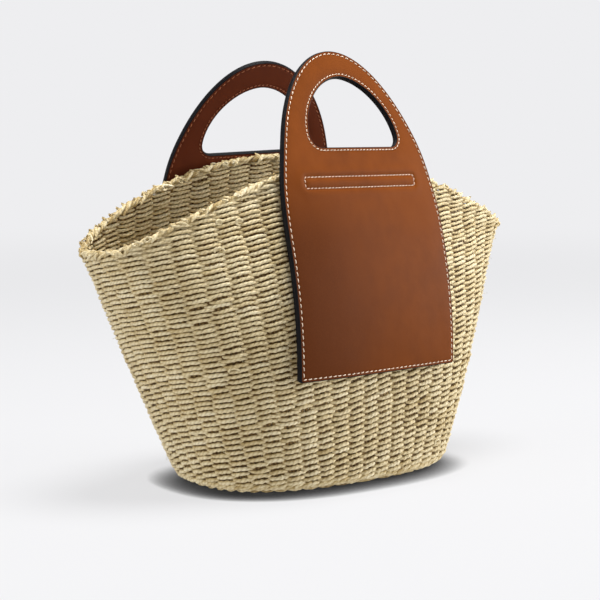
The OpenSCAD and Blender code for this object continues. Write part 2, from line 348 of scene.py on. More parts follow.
class Nodes:
    """Short way to build the nodes of a material or a world."""

    def __init__(self, owner):
        owner.use_nodes = True
        self.owner, self.tree = owner, owner.node_tree
        self.shader = self.tree.nodes.get("Principled BSDF")

    def add(self, kind, settings=None, **inputs):
        """A node with its settings and inputs. i0 is the first input, and _ stands for a space in a name."""
        node = self.tree.nodes.new("ShaderNode" + kind)
        for key, value in (settings or {}).items():
            setattr(node, key, value)
        for key, value in inputs.items():
            self.set(node, key.replace("_", " "), value)
        return node

    def set(self, node, key, value):
        socket = node.inputs[int(key[1:])] if key[0] == "i" and key[1:].isdigit() else node.inputs[key]
        if isinstance(value, bpy.types.NodeSocket):
            self.tree.links.new(value, socket)
        else:
            socket.default_value = value

    def math(self, operation, a, b=0.0, clamp=False):
        return self.add("Math", {"operation": operation, "use_clamp": clamp}, i0=a, i1=b).outputs[0]

    def weigh(self, *parts):
        """The sum of some values, each times its own share."""
        scaled = [self.math("MULTIPLY", value, share) for value, share in parts]
        total = scaled[0]
        for part in scaled[1:]:
            total = self.math("ADD", total, part)
        return total

    def blend(self, factor, a, b, mode="MIX"):
        """A mix of two colours, each of them an output or three numbers."""
        a, b = (c if isinstance(c, bpy.types.NodeSocket) else (*c, 1) for c in (a, b))
        return self.add("Mix", {"data_type": "RGBA", "blend_type": mode}, i0=factor, i6=a, i7=b).outputs[2]

    def ramp(self, factor, *stops):
        node = self.add("ValToRGB", i0=factor)
        elements = node.color_ramp.elements
        while len(elements) < len(stops):
            elements.new(0.5)
        for element, (at, colour) in zip(elements, stops):
            element.position = at
            element.color = (*colour, 1)
        return node.outputs[0]

    def noise(self, vector, scale, detail=3.0, rough=0.55):
        return self.add("TexNoise", Vector=vector, Scale=scale, Detail=detail, Roughness=rough).outputs[0]

    def span(self, value, **ends):
        return self.add("MapRange", Value=value, **ends).outputs[0]

    def bump(self, height, strength, distance, **under):
        return self.add("Bump", Height=height, Strength=strength, Distance=distance, **under).outputs[0]

    def place(self):
        return self.add("TexCoord").outputs["Object"]

    def tone(self):
        return self.add("Attribute", {"attribute_name": "tone"}).outputs["Fac"]

    def cord(self):
        """A place on a strand: centimetres along it, and turns round it."""
        return self.add("UVMap", {"uv_map": "along"}).outputs[0]

    def plies(self, cord, twist):
        """The height of a strand's twisted plies: 0 in the grooves and 1 on top."""
        part = self.add("SeparateXYZ", i0=cord)
        turn = self.math("ADD", self.math("MULTIPLY", part.outputs[0], twist), part.outputs[1])
        return self.math("ABSOLUTE", self.math("SINE", self.math("MULTIPLY", turn, 2 * math.pi)))

    def finish(self, colour, roughness, normal, **constants):
        """Fills the shader's sockets and returns the material."""
        inputs = {"Base Color": colour, "Roughness": roughness, "Normal": normal, **constants}
        for key, value in inputs.items():
            self.set(self.shader, key.replace("_", " "), value)
        return self.owner


def new_material(name):
    return Nodes(bpy.data.materials.new(name))


def srgb(r, g, b):
    """A linear colour from sRGB parts of 255."""
    def line(c):
        c /= 255
        return c / 12.92 if c <= 0.04045 else ((c + 0.055) / 1.055) ** 2.4
    return (line(r), line(g), line(b))


def straw_material(light, mid, dark, deep, warm):
    """Twisted paper cord: slanting ply grooves with painted shade in them, fine fibres, and tones that change
    from stitch to stitch.
    """
    m = new_material("straw")
    cord, place = m.cord(), m.place()
    groove = m.math("POWER", m.plies(cord, 1.3), 0.5)
    fibre = m.noise(m.add("Mapping", Vector=cord, Scale=(3.0, 26.0, 1.0)).outputs[0], 3.0, 4.0)
    patch = m.noise(place, 22.0)
    speck = m.math("SUBTRACT", m.noise(place, 420.0, 2.0), 0.58, clamp=True)
    shade = m.weigh((m.tone(), 0.62), (patch, 0.2), (fibre, 0.22))
    # The tone attribute holds each stitch's own tone together with painted shade, and its lowest values reach
    # the deep colour, the painted shade between the cords.
    colour = m.ramp(shade, (0.1, deep), (0.32, dark), (0.54, mid), (0.8, light))
    colour = m.blend(m.math("MULTIPLY", speck, 1.6, clamp=True), colour, warm)
    # Painted shade: the grooves between the plies are multiplied towards the dark colour.
    groove_shade = m.math("SUBTRACT", 1.0, groove)
    colour = m.blend(m.math("MULTIPLY", groove_shade, 0.5, clamp=True), colour, dark, "MULTIPLY")
    rough = m.span(fibre, To_Min=0.5, To_Max=0.78)
    bump = m.bump(m.weigh((groove, 0.75), (fibre, 0.5)), 0.8, 0.0007)
    return m.finish(colour, rough, bump, Specular_IOR_Level=0.35, Sheen_Weight=0.06)


def leather_material(name, light, mid, dark):
    """Smooth finished leather: soft mottling, burnished edges, painted shade low on the left, and a fine
    pebbled grain.
    """
    m = new_material(name)
    place = m.place()
    cloud = m.noise(place, 9.0, 3.0, 0.5)
    streak = m.noise(m.add("Mapping", Vector=place, Scale=(1.0, 1.0, 0.7)).outputs[0], 90.0)
    grain = m.add("TexVoronoi", {"feature": "SMOOTH_F1"}, Vector=place, Scale=1150.0).outputs[0]
    pore = m.noise(place, 2600.0, 2.0)
    colour = m.ramp(m.weigh((cloud, 0.7), (streak, 0.3)), (0.12, dark), (0.5, mid), (0.85, light))
    # The tone attribute darkens towards the dark colour: burnished edges, and painted shade low on the left.
    colour = m.blend(m.tone(), colour, dark)
    colour = m.blend(m.math("MULTIPLY", grain, 0.18, clamp=True), colour, light)
    rough = m.span(cloud, From_Min=0.3, From_Max=0.7, To_Min=0.5, To_Max=0.62)
    fine = m.bump(m.weigh((grain, 0.6), (pore, 0.4)), 0.16, 0.00025)
    soft = m.bump(m.noise(place, 55.0), 0.1, 0.003, Normal=fine)
    return m.finish(colour, rough, soft, Specular_IOR_Level=0.05)


def edge_material():
    """Painted leather edge: almost black, a little uneven, with a soft shine."""
    m = new_material("black_edge")
    uneven = m.noise(m.place(), 240.0)
    colour = m.ramp(uneven, (0.3, srgb(9, 9, 12)), (0.7, srgb(17, 16, 21)))
    rough = m.span(uneven, To_Min=0.45, To_Max=0.65)
    return m.finish(colour, rough, m.bump(uneven, 0.3, 0.0005), Specular_IOR_Level=0.12)


def thread_material(name, light, dark):
    """Waxed thread with a visible twist."""
    m = new_material(name)
    ply = m.plies(m.cord(), 9.0)
    # The grooves between the plies are darker: painted shade.
    colour = m.ramp(m.weigh((ply, 0.45), (m.tone(), 0.55)), (0.1, dark), (0.75, light))
    return m.finish(colour, 0.62, m.bump(ply, 0.5, 0.0002))


# The fourth straw colour is the painted shade between the cords.
STRAW = straw_material(srgb(253, 243, 212), srgb(231, 214, 170), srgb(184, 158, 101), srgb(94, 65, 22),
                       srgb(198, 164, 108))
TAN = leather_material("tan_leather", srgb(132, 70, 23), srgb(119, 60, 16), srgb(81, 38, 10))
# The lining's colours are darker than the face leather's: painted shade on the same leather.
SHADED_LINING = leather_material("inner_leather", srgb(112, 56, 33), srgb(100, 48, 29), srgb(80, 38, 24))
EDGE = edge_material()
THREAD = thread_material("thread", srgb(244, 224, 200), srgb(190, 150, 122))
BROWN_THREAD = thread_material("brown_thread", srgb(178, 104, 62), srgb(112, 58, 34))
BACKGROUND, FLOOR = srgb(238, 238, 240), srgb(245, 245, 247)


# ---------- the woven body

def row_height(k, t):
    """Height of row k at an angle in plan. Rows sag a little towards both ends, but less than the rim
    does, and low rows run down to the right, so that rows run out into the rim and the base edge."""
    low = LOW_PITCH * k - (LOW_PITCH - TOP_PITCH) * k * k / (2 * ROWS)
    part = np.clip(low / RIM_MID, 0, 1)
    sag = (SAG_LOW + SAG_TOP * part**2) * part * (RIM_MID - rim_h(t))
    x = half_len(part) * np.cos(t)
    return low - sag - RUN_DOWN * (1 - smooth(part * 1.4)) * (x - RUN_FROM)


def twined_rows(name, rows, drift, rng):
    """Rows of two strands that twist round each other between the stakes, so that each stitch in sight slants
    up to its right. drift is how far each stake's stitches have strayed, up and round, by the last row."""
    tubes = Tubes()
    u = np.arange(STAKES * STEPS) / STEPS

    def spread(line):
        return np.interp(u, np.arange(STAKES + 1), np.append(line, line[0]))

    def wander(size):
        return spread(rng.normal(0, size, STAKES))

    for k in rows:
        t = stake_angle(u, 0.5)
        for _ in range(3):
            t = stake_angle(u, row_height(k, t) / rim_h(t))
        drift *= DRIFT_KEPT
        drift += rng.normal(0, [[DRIFT_UP], [DRIFT_LATE]], (2, STAKES))
        z = row_height(k, t) + spread(drift[0]) + wander(STRAY_UP)
        late = spread(drift[1]) + wander(STRAY_LATE)
        pitch = mix(LOW_PITCH, TOP_PITCH, max(k, 0) / ROWS)
        top = rim_h(t) - ROW_CLEAR_TOP
        inside = (z > ROW_CLEAR_LOW) & (z < top)
        base, normal, up = wall_frame(t, np.clip(z, ROW_CLEAR_LOW, top))
        base = base + normal * (FLARE * smooth(1 - (rim_h(t) - z) / FLARE_FROM))[:, None]
        for strand in (0, 1):
            # out is 1 where the strand passes outside a stake, and -1 where it passes inside one.
            turn = np.pi * (u + strand) + late
            out = np.cos(turn - SKEW * np.cos(turn))
            half_r = CORD_R * (1 - THIN_END + THIN_END * np.abs(out)) + wander(STRAY_THICK)
            depth = WALL_T / 2 - (WALL_T / 2 - CORD_R) * bow(out, BLUNT) - wander(STRAY_DEEP)
            rise = pitch * (SLANT * np.sin(turn) + TILT * np.cos(turn) + RIPPLE * np.sin(3 * turn + 0.6))
            centre = base - normal * depth[:, None] + up * (rise + wander(STRAY_UP))[:, None]
            tall = pitch * (TALL + TALL_OUT * np.abs(out) ** 0.8 + TALL_IN * (out < 0))
            crinkle = 1 + CRINKLE * rng.normal(size=len(u))
            tall = tall * crinkle * (1 + wander(STRAY_TALL))
            stitch = np.floor(u + strand + 0.5).astype(int) % (2 * STAKES)
            tone = rng.normal(STITCH_TONE, STITCH_TONE_STRAY, 2 * STAKES)[stitch]
            # Painted light: the higher end of each stitch in sight is lighter and its lower end darker, and
            # painted shade falls where the strand turns in between the stakes.
            tone = tone + 0.05 * np.sign(out) * np.sin(turn) - 0.1 * (1 - np.abs(out) ** 0.5)
            add_runs(tubes, centre, normal, half_r * crinkle, tall, tone, inside)
    return tubes.make(name, STRAW)


def add_runs(tubes, centre, normal, r_out, r_up, tone, inside):
    """Adds a strand that goes right round, or only its stretches that are inside, with thin, lifted ends."""
    if inside.all():
        tubes.add(centre, normal, r_out, r_up, tone, closed=True)
        return
    if not inside.any():
        return
    order = np.roll(np.arange(len(centre)), -int(np.argmin(inside)))
    edges = np.flatnonzero(np.diff(np.concatenate([[0], inside[order].astype(int), [0]])))
    for first, last in zip(edges[::2], edges[1::2]):
        if last - first >= 5:
            pick = order[first:last]
            end = np.minimum(np.arange(len(pick)), np.arange(len(pick))[::-1])
            thin = np.interp(end, [0, 1, 3], [0.45, 0.85, 1.0])
            turned = 2.4 * np.clip(1 - end / 4, 0, 1) ** 2 * (centre[pick, 2] > BORDER_H)
            line = centre[pick] + turned[:, None] * [0, 0, 1]
            tubes.add(line, normal[pick], r_out[pick] * thin, r_up[pick] * thin, tone[pick])


def stakes(rng):
    """The upright cords that the rows are twined round, side by side all the way."""
    tubes = Tubes(6)
    cords, half_thick = 5, 0.8
    q = np.linspace(0.03, 0.97, 34)
    for k in range(STAKES * cords):
        u = (k + 0.1 * rng.normal()) / cords
        t, beside = (stake_angle(np.full(len(q), a), q) for a in (u, u + 1 / cords))
        base, normal, _ = wall_frame(t, q * rim_h(t))
        width = np.linalg.norm(wall_pt(beside, q * rim_h(beside), 0) - wall_pt(t, q * rim_h(t), 0), axis=1)
        # Painted shade: the stakes show only through the gaps between the rows, so their tone is set low.
        tone = 0.1 * rng.random() - 0.1
        tubes.add(base - normal * (WALL_T / 2), normal, half_thick, 0.56 * width, tone)
    return tubes.make("wall_stakes", STRAW)


def rim_place(u):
    """Where the border starts at stake coordinate u, with the outward and upward directions there."""
    t = stake_angle(np.atleast_1d(u), 1.0)
    return wall_frame(t, rim_h(t) - BORDER_H)


def one_place(place):
    """The first point of a place, its outward and upward directions, and the one along the wall."""
    base, normal, up = (v[0] for v in place)
    return base, normal, up, np.cross(up, normal)


def rim_border(rng):
    """The border: three cords that twist round each other along the rim's top, none too evenly."""
    tubes = Tubes(8)
    n = STAKES * STEPS
    base, normal, up = rim_place(np.arange(n) * STAKES / n)

    def wander(size, every=6):
        line = rng.normal(0, size, n // every)
        return np.interp(np.arange(n), np.arange(0, n + 1, every), np.append(line, line[0]))

    for strand in range(3):
        a = 2 * np.pi * (np.arange(n) / n * STAKES + strand / 3) + wander(0.6, 12)
        out = FLARE - BORDER_IN + BORDER_SWING * np.cos(a) + wander(0.45)
        rise = BORDER_H - BORDER_LOW + BORDER_CLIMB * np.sin(a) + wander(0.5)
        centre = base - normal * (WALL_T / 2 - out)[:, None] + up * rise[:, None]
        size = BORDER_CORD_R * (1 + wander(0.1, 4)) * (1 + 0.06 * rng.normal(size=n))
        # Painted shade: each cord is darker where it winds lowest, under the other cords.
        tone = 0.6 + wander(0.16, 6) - 0.16 * (1 - np.sin(a))
        tubes.add(centre, normal, size, size, tone, closed=True)
    return tubes.make("rim_border_cords", STRAW)


def rim_knots(rng):
    """What the border's weaver leaves along the rim: cords that cross it, curled ends, and short stubs."""
    tubes = Tubes(7)
    for k in range(2 * STAKES):
        u = k / 2
        if rng.random() < CROSSINGS:
            add_crossing(tubes, u + 0.12 * rng.normal(), rng)
        if rng.random() < CURLS:
            add_knot(tubes, u + rng.uniform(-0.25, 0.25), rng)
        if rng.random() < STUBS:
            add_stub(tubes, u + rng.uniform(-0.25, 0.25), rng)
    return tubes.make("rim_knots", STRAW)


def add_crossing(tubes, u, rng):
    """A stake's end: it lies over the border at a slant and is tucked in on both faces."""
    slant = rng.uniform(0.3, 0.9) * (1 if rng.random() < 0.75 else -1)
    a = np.linspace(-0.12, 1.12, 14)
    over = np.pi * a
    base, normal, up = rim_place(u + slant * (a - 0.5))
    depth = WALL_T / 2 - (WALL_T / 2 + 0.2) * np.cos(over) - FLARE * (1 - a)
    rise = BORDER_H - 4.2 + np.where(np.sin(over) > 0, rng.uniform(2.2, 3.2), 4.0) * np.sin(over)
    centre = base - normal * depth[:, None] + up * rise[:, None]
    away = unit(up * np.sin(over)[:, None] + normal * np.cos(over)[:, None])
    thin = np.interp(a, [-0.12, 0.05, 0.95, 1.12], [0.4, 1, 1, 0.4]) * rng.uniform(0.75, 1.1)
    tubes.add(centre, away, 1.15 * thin, 1.5 * thin, 0.6 + 0.14 * rng.normal())


def add_knot(tubes, u, rng):
    """A curled end on the rim's outer or inner shoulder: about one turn, open in the middle."""
    base, normal, up, around = one_place(rim_place(u))
    outer = rng.random() < 0.6
    lean = rng.uniform(0.2, 1.1) * (1 if outer else -1)
    facing = unit(normal * math.sin(lean) + up * math.cos(lean) + 0.5 * around * rng.normal())
    depth = rng.uniform(-1.2, 1.2) if outer else rng.uniform(4.0, 6.4)
    middle = base - normal * depth + up * (BORDER_H + rng.uniform(-3.0, -1.2))
    side = unit(np.cross(facing, around + 0.3 * up))
    level = np.cross(side, facing)
    steps = 18
    a = np.linspace(0, 2 * np.pi * rng.uniform(0.9, 1.35), steps) + rng.uniform(0, 6.3)
    size = rng.uniform(1.3, 1.9) * np.linspace(1.25, 0.8, steps)
    lift = np.linspace(-1.4, 0.2, steps)
    centre = middle + (np.cos(a) * size * 1.3)[:, None] * level + (np.sin(a) * size)[:, None] * side
    centre = centre + lift[:, None] * facing
    thin = np.interp(np.arange(steps), [0, 2, 15, 17], [0.6, 1, 1, 0.55]) * rng.uniform(0.8, 1.0)
    tubes.add(centre, facing, 0.95 * thin, thin, 0.66 + 0.12 * rng.normal())


def add_stub(tubes, u, rng):
    """A short cut end that sticks out of the border."""
    base, normal, up, around = one_place(rim_place(u))
    heading = unit(up * rng.uniform(0.1, 0.5) + normal * rng.normal(0, 0.4) + around * rng.normal(0, 1.0))
    start = base - normal * rng.uniform(-0.5, 5.5) + up * (BORDER_H - 2.4)
    a = np.linspace(0, 1, 7)[:, None]
    bend = np.cross(heading, normal) * rng.uniform(-1.2, 1.2)
    centre = start + heading * a * rng.uniform(2.6, 4.2) + bend * a**2
    thin = np.array([0.9, 1, 1, 1, 0.95, 0.8, 0.35]) * rng.uniform(0.75, 1.0)
    tubes.add(centre, normal, 0.95 * thin, 1.1 * thin, 0.66 + 0.12 * rng.normal())


def wall_spot(low, high, rng):
    """A place anywhere on the wall between two shares of the rim's height."""
    q = rng.uniform(low, high)
    t = stake_angle(np.array([rng.uniform(0, STAKES)]), q)
    return one_place(wall_frame(t, q * rim_h(t)))


def loose_bits(rng):
    """Hairs of paper fibre that stand off the cords, and a few knots where a new cord starts."""
    tubes = Tubes(4)
    a = np.linspace(0, 1, 8)[:, None]
    for _ in range(HAIRS):
        base, normal, up, around = wall_spot(0.06, 0.99, rng)
        heading = unit(normal * rng.uniform(0.3, 1.0) + around * rng.normal() + up * rng.normal(0, 0.5))
        length = rng.uniform(2.5, 7.0)
        droop = around * rng.normal(0, 1.2) - up * rng.uniform(0, 1.5)
        tubes.add(base - normal + heading * a * length + droop * a**2, up, 0.11, 0.16, 0.8)
    tubes.sides = 7
    steps = 14
    for _ in range(LOOSE_KNOTS):
        base, normal, up, around = wall_spot(0.1, 0.95, rng)
        a = np.linspace(0, 2 * np.pi * rng.uniform(0.6, 1.0), steps)[:, None]
        across, high = rng.uniform(2.5, 4.5), rng.uniform(1.6, 2.4)
        centre = base + around * across * np.cos(a) + up * high * np.sin(a) + normal * (0.7 * np.sin(a) - 0.7)
        thin = np.interp(np.arange(steps), [0, 2, 11, 13], [0.5, 1, 1, 0.5])
        tubes.add(centre, normal, 0.85 * thin, thin, 0.66)
    return tubes.make("loose_ends", STRAW)


def base_edge(rng):
    """The heavier three-strand row where the base turns up into the wall."""
    tubes = Tubes(8)
    steps = 16
    u = np.arange(STAKES * steps) / steps
    base, normal, up = wall_frame(stake_angle(u, 0.02), np.full(len(u), EDGE_ROW_H))
    for strand in range(3):
        a = 2 * np.pi * (u / 1.5 + strand / 3)
        centre = base - normal * (EDGE_ROW_IN - np.cos(a))[:, None]
        centre = centre + up * (EDGE_ROW_CLIMB * np.sin(a))[:, None]
        tone = 0.5 + 0.1 * np.repeat(rng.normal(size=STAKES), steps)
        tubes.add(centre, normal, BASE_CORD_R, 1.9, tone, closed=True)
    return tubes.make("base_edge_row", STRAW)


def base_mat(rng):
    """The oval base, twined outwards from a line in the middle."""
    tubes = Tubes(8)
    half_span = (BASE_LEN - BASE_DEPTH) / 2
    outer = BASE_DEPTH / 2 - MAT_IN
    steps, start = 10, 0.6
    for k in range(int(outer / MAT_PITCH) + 1):
        share = (k + start) * MAT_PITCH / (outer + start * MAT_PITCH)
        stakes_here = STAKES if share > 0.5 else STAKES // 2
        u = np.arange(stakes_here * steps) / steps
        t = 2 * np.pi * u / stakes_here
        spine = np.stack([half_span * np.cos(t) + BASE_SHIFT, 0 * t, 0 * t], -1)
        flat = mix(spine, wall_pt(t, 0, MAT_IN), share)
        outward = unit(np.cross(unit(np.roll(flat, -1, 0) - np.roll(flat, 1, 0)), [0.0, 0.0, 1.0]))
        for strand in (0, 1):
            turn = np.pi * (u + strand + k * 0.5)
            out = np.cos(turn)
            centre = flat + outward * (0.28 * MAT_PITCH * np.sin(turn))[:, None]
            centre[:, 2] = WALL_T / 2 - (WALL_T / 2 - CORD_R) * bow(out, BASE_BLUNT) + 0.05
            wide = MAT_PITCH * (0.29 + 0.16 * np.abs(out) ** 0.8)
            tone = rng.normal(0.42, 0.13, stakes_here + 1)[np.floor(u + 0.5).astype(int)]
            tubes.add(centre, [0, 0, -1], BASE_CORD_R, wide, tone, closed=True)
    spine = np.linspace(-half_span - 2, half_span + 2, 40)
    for side in (-1, 1):
        centre = np.stack([spine + BASE_SHIFT, side * 1.2 * np.cos(spine / 3.2), 0 * spine + WALL_T / 2], -1)
        tubes.add(centre, [0, 0, 1], 2.9, 1.7, 0.45)
    return tubes.make("base_mat", STRAW)


def woven_body():
    """All the straw. The rows are made in bands, and each band's last drift goes on into the next."""
    rng = np.random.default_rng(SEED)
    edges = np.linspace(-2, ROWS + 2, BANDS + 1).astype(int)
    drift = np.zeros((2, STAKES))
    for b in range(BANDS):
        piece = twined_rows(f"wall_rows_{b + 1}", range(edges[b] + 1, edges[b + 1] + 1), drift, rng)
        root_piece(piece, "straw", "wall_weave")
    root_piece(stakes(rng), "straw")
    root_piece(rim_border(rng), "straw", "rim_border")
    root_piece(rim_knots(rng), "straw")
    root_piece(loose_bits(rng), "straw")
    root_piece(base_edge(rng), "straw")
    root_piece(base_mat(rng), "straw", "base_weave")


def root_piece(piece, slot, *nodes):
    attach(piece, "root")
    if nodes:
        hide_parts(*nodes)


# ---------- the leather tongues

class Side:
    """One side's tongue: where it sits and how its middle surface runs from the panel to the handle."""

    def __init__(self, name, shift, drop, turn, roll, lean, hole_shift, mirrored, gap, phase):
        self.name, self.drop, self.phase = name, drop, phase
        self.lean = math.radians(lean)
        self.flex_h = HOLE_LOW - drop - FLEX_DROP * math.cos(self.lean)
        self.mid_offset = gap + SKIN_T + HALF_BOARD
        self.flex_y = wall_y(shift, self.flex_h) + self.mid_offset
        self.shift, self.mirrored = shift, mirrored
        turned = Matrix.Rotation(math.radians(turn), 3, "Z")
        self.place = turned @ Matrix.Rotation(math.radians(-roll), 3, "Y")
        self.profile()
        self.lines = tongue_outline(self.low), hole_outline(hole_shift)

    def profile(self):
        """Samples the middle surface as distance out and height against length along, bend rounded off."""
        step, around = 0.5, 17
        low = PANEL_LOW - self.drop - self.flex_h
        z = np.arange(0, low - 3, -0.25)
        level = self.flex_h + z
        slope = wall_y(self.shift, level + 0.5) - wall_y(self.shift, level - 0.5)
        out = wall_y(self.shift, level) + self.mid_offset - self.flex_y
        run = running(np.hypot(np.diff(out), np.diff(z)))
        self.low = -float(np.interp(low, z[::-1], run[::-1]))
        length = np.arange(-run[-1], HANDLE_H + FLEX_DROP + 5, step)
        angle = np.where(length < 0, np.arctan(np.interp(-length, run, slope)), -self.lean)
        padded = np.pad(angle, around, mode="edge")
        angle = np.convolve(padded, np.ones(2 * around + 1) / (2 * around + 1), "valid")
        halfway = (angle[1:] + angle[:-1]) / 2
        out = running(np.sin(halfway) * step)
        height = running(np.cos(halfway) * step)
        straight = np.flatnonzero(length > 3 * around * step)[0]
        out += -math.sin(self.lean) * length[straight] - out[straight]
        height += math.cos(self.lean) * length[straight] - height[straight]
        self.length, self.out, self.height, self.angle = length, out, height, angle

    def point(self, across, along, away):
        """Points for places on the tongue, each a distance out from its middle surface."""
        out = np.interp(along, self.length, self.out)
        flat = np.interp(along, [-25, 15], [0, 0.7])
        roll = np.where(across < 0, ROLL_LEFT, ROLL_RIGHT) * (1 - flat)
        out = out - roll * (np.maximum(np.abs(across) - ROLL_FROM, 0) / (PANEL_W / 2 - ROLL_FROM)) ** 2
        height = np.interp(along, self.length, self.height)
        angle = np.interp(along, self.length, self.angle)
        local = np.stack([across + 0 * out, -(out + away * np.cos(angle)), height - away * np.sin(angle)], -1)
        placed = local @ np.array(self.place).T + np.array([self.shift, -self.flex_y, self.flex_h])
        if self.mirrored:
            placed = placed * [1, -1, 1]
        return placed

    def hinge(self, along):
        """A point on the tongue's middle line at a length along from the bending axis, in metres."""
        return tuple(self.point(0.0, along, 0.0) * MM)


def resample(points, step):
    """Points at equal spacing on a closed line."""
    closed = np.concatenate([points, points[:1]])
    run = run_along(closed)
    n = int(round(run[-1] / step))
    at = np.arange(n) * run[-1] / n
    return np.stack([np.interp(at, run, closed[:, i]) for i in (0, 1)], -1)


def offset(points, distance):
    """A closed line moved sideways, to the left of its direction."""
    along = unit(np.roll(points, -1, 0) - np.roll(points, 1, 0))
    return points + distance * np.stack([-along[:, 1], along[:, 0]], -1)


def tongue_outline(low):
    """The tongue's outline, anticlockwise, as places across and along from the bending axis."""
    w, r = PANEL_W / 2, CORNER_R
    corner = np.radians(np.linspace(0, 90, 7))
    right_low = np.stack([w - r + r * np.sin(corner), low + r - r * np.cos(corner)], -1)
    crown_low = HANDLE_H - CROWN_H + FLEX_DROP
    arch = np.radians(np.linspace(0, 180, 181))
    top = np.stack([w * np.cos(arch), crown_low + CROWN_H * np.sin(arch)], -1)
    left_low = right_low[::-1] * [-1, 1]
    return resample(np.concatenate([right_low, top, left_low]), OUTLINE_STEP)


def hole_outline(shift):
    """The hand hole's outline, clockwise."""
    rx, ry, r = HOLE_W / 2, HOLE_H - HOLE_R, HOLE_R
    arch = np.radians(np.linspace(0, 180, 121))
    top = np.stack([rx * bow(np.cos(arch), ARCH_POWER), ry * np.sin(arch) ** ARCH_POWER], -1)
    a = np.radians(np.linspace(180, 270, 13))[1:]
    left = np.stack([-rx + r + r * np.cos(a), r * np.sin(a)], -1)
    a = np.radians(np.linspace(270, 360, 13))[:-1]
    right = np.stack([rx - r + r * np.cos(a), r * np.sin(a)], -1)
    line = np.concatenate([top, left, right]) + [shift, FLEX_DROP + r]
    return resample(line, HOLE_STEP)[::-1]


def fixing_line():
    """The line of the stitched box that holds the tongue to the straw."""
    a, r = np.radians(np.arange(0, 360, 15)), FIXING_CORNER_R
    corner = np.stack([np.cos(a), np.sin(a)], -1) * r
    quarter = np.sign(np.stack([np.cos(a + 0.01), np.sin(a + 0.01)], -1))
    return corner + quarter * [FIXING_LEN / 2 - r, FIXING_W / 2 - r] + [0, FIXING_H]


def nearest(points, line):
    """Distance from each point to a closed line."""
    a, b = line, np.roll(line, -1, 0)
    d = b - a
    found = np.zeros(len(points))
    batch = 2000
    for i in range(0, len(points), batch):
        p = points[i:i + batch, None]
        t = np.clip(np.sum((p - a) * d, -1) / np.maximum(np.sum(d * d, -1), 1e-9), 0, 1)
        found[i:i + batch] = np.linalg.norm(p - a - t[..., None] * d, axis=-1).min(1)
    return found


def edge_distance(side, p):
    """Distance from each point to the nearer of the tongue's outline and its hand hole."""
    return np.minimum(*(nearest(p, line) for line in side.lines))


def fixing_distance(p):
    """Signed distance to the stitched box, below zero inside it."""
    r = 3
    d = np.abs(p - [0, FIXING_H]) - [FIXING_LEN / 2 - r, FIXING_W / 2 - r]
    return np.linalg.norm(np.maximum(d, 0), axis=1) + np.minimum(d.max(1), 0) - r


def plan_mesh(side, inset, spacing, fine):
    """Triangulates the tongue inside its edges: its points, its triangles, and which points follow the
    outline and the hole. A fine plan has rows of points where the relief is, by the edges and the box."""
    outer, hole = (offset(line, inset) for line in side.lines)
    loose = []
    if fine:
        loose = [offset(line, row) for row in SEAM_ROWS for line in side.lines]
        for grow in FIXING_ROWS:
            corner = np.array([FIXING_LEN / 2 + grow, FIXING_W / 2 + grow])
            box = corner * [[-1, -1], [1, -1], [1, 1], [-1, 1]] + [0, FIXING_H]
            loose.append(resample(box, FIXING_STEP))
    x = np.arange(-PANEL_W / 2, PANEL_W / 2 + spacing, spacing)
    y = np.arange(side.low, HANDLE_H + FLEX_DROP, spacing * 0.866)
    gx, gy = np.meshgrid(x, y)
    gx = gx + (np.arange(len(y)) % 2)[:, None] * spacing / 2
    grid = np.stack([gx.ravel(), gy.ravel()], -1)
    grid = grid[inside_line(grid, outer) & ~inside_line(grid, hole)]
    keep = np.minimum(nearest(grid, outer), nearest(grid, hole)) > (EDGE_ROOM if fine else 0.6 * spacing)
    if fine:
        far = fixing_distance(grid)
        keep &= (far > BOX_ROOM_OUT) | (far < -BOX_ROOM_IN)
    points = np.concatenate([outer, hole, *loose, grid[keep]])
    a, b = len(outer), len(hole)
    ring = [(i, (i + 1) % a) for i in range(a)] + [(a + i, a + (i + 1) % b) for i in range(b)]
    made = delaunay_2d_cdt([Vector(p) for p in points], ring, [], 0, 1e-4)
    where = np.array(made[0], float)
    tris = np.array([f for f in made[2] if len(f) == 3], int)
    middle = where[tris].mean(1)
    tris = tris[inside_line(middle, outer) & ~inside_line(middle, hole)]
    new_id = {old: new for new, olds in enumerate(made[3]) for old in olds}
    along_lines = np.array([new_id[i] for i in range(a)]), np.array([new_id[a + i] for i in range(b)])
    return where, tris, along_lines


def inside_line(points, line):
    """Whether each point lies inside a closed line."""
    a, b = line, np.roll(line, -1, 0)
    found = np.zeros(len(points), bool)
    for (x1, y1), (x2, y2) in zip(a, b):
        if y1 != y2:
            crosses = (points[:, 1] > y1) != (points[:, 1] > y2)
            found ^= crosses & (points[:, 0] < (x2 - x1) * (points[:, 1] - y1) / (y2 - y1) + x1)
    return found


def relief(side, p, phase):
    """How far the leather's face stands out: a seam groove, soft filling, the fixing box, and a slow wave."""
    x, y = p.T
    d = edge_distance(side, p)
    groove = 0.26 * hill(d - SEAM_INSET, 0.8)
    filling = 0.28 * (1 - np.exp(-np.maximum(d - 3.2, 0) / 5))
    box = fixing_distance(p)
    pressed = 0.85 * hill(box, 1.3)
    cushion = 0.45 * np.clip(1 - ((y - FIXING_H) / (FIXING_W / 2)) ** 2, 0, 1) * (box < 0)
    pucker = 0.16 * hill(np.maximum(box, 0), 3.2) * np.cos(2 * np.pi * x / 3.7) * (box > -2)
    swelling = 0.5 * hill(box - 4.5, 2.6) * (box > 0)
    box_end = 0.5 * hill(x + FIXING_LEN / 2 + 5, 7) * hill(y - FIXING_H - 2, 7)
    wave = 0.22 * np.sin(x / 19 + phase) * np.sin(y / 27 + 1.3 * phase) * smooth((d - 6) / 12)
    return filling - groove - pressed + cushion + pucker + swelling + box_end + wave


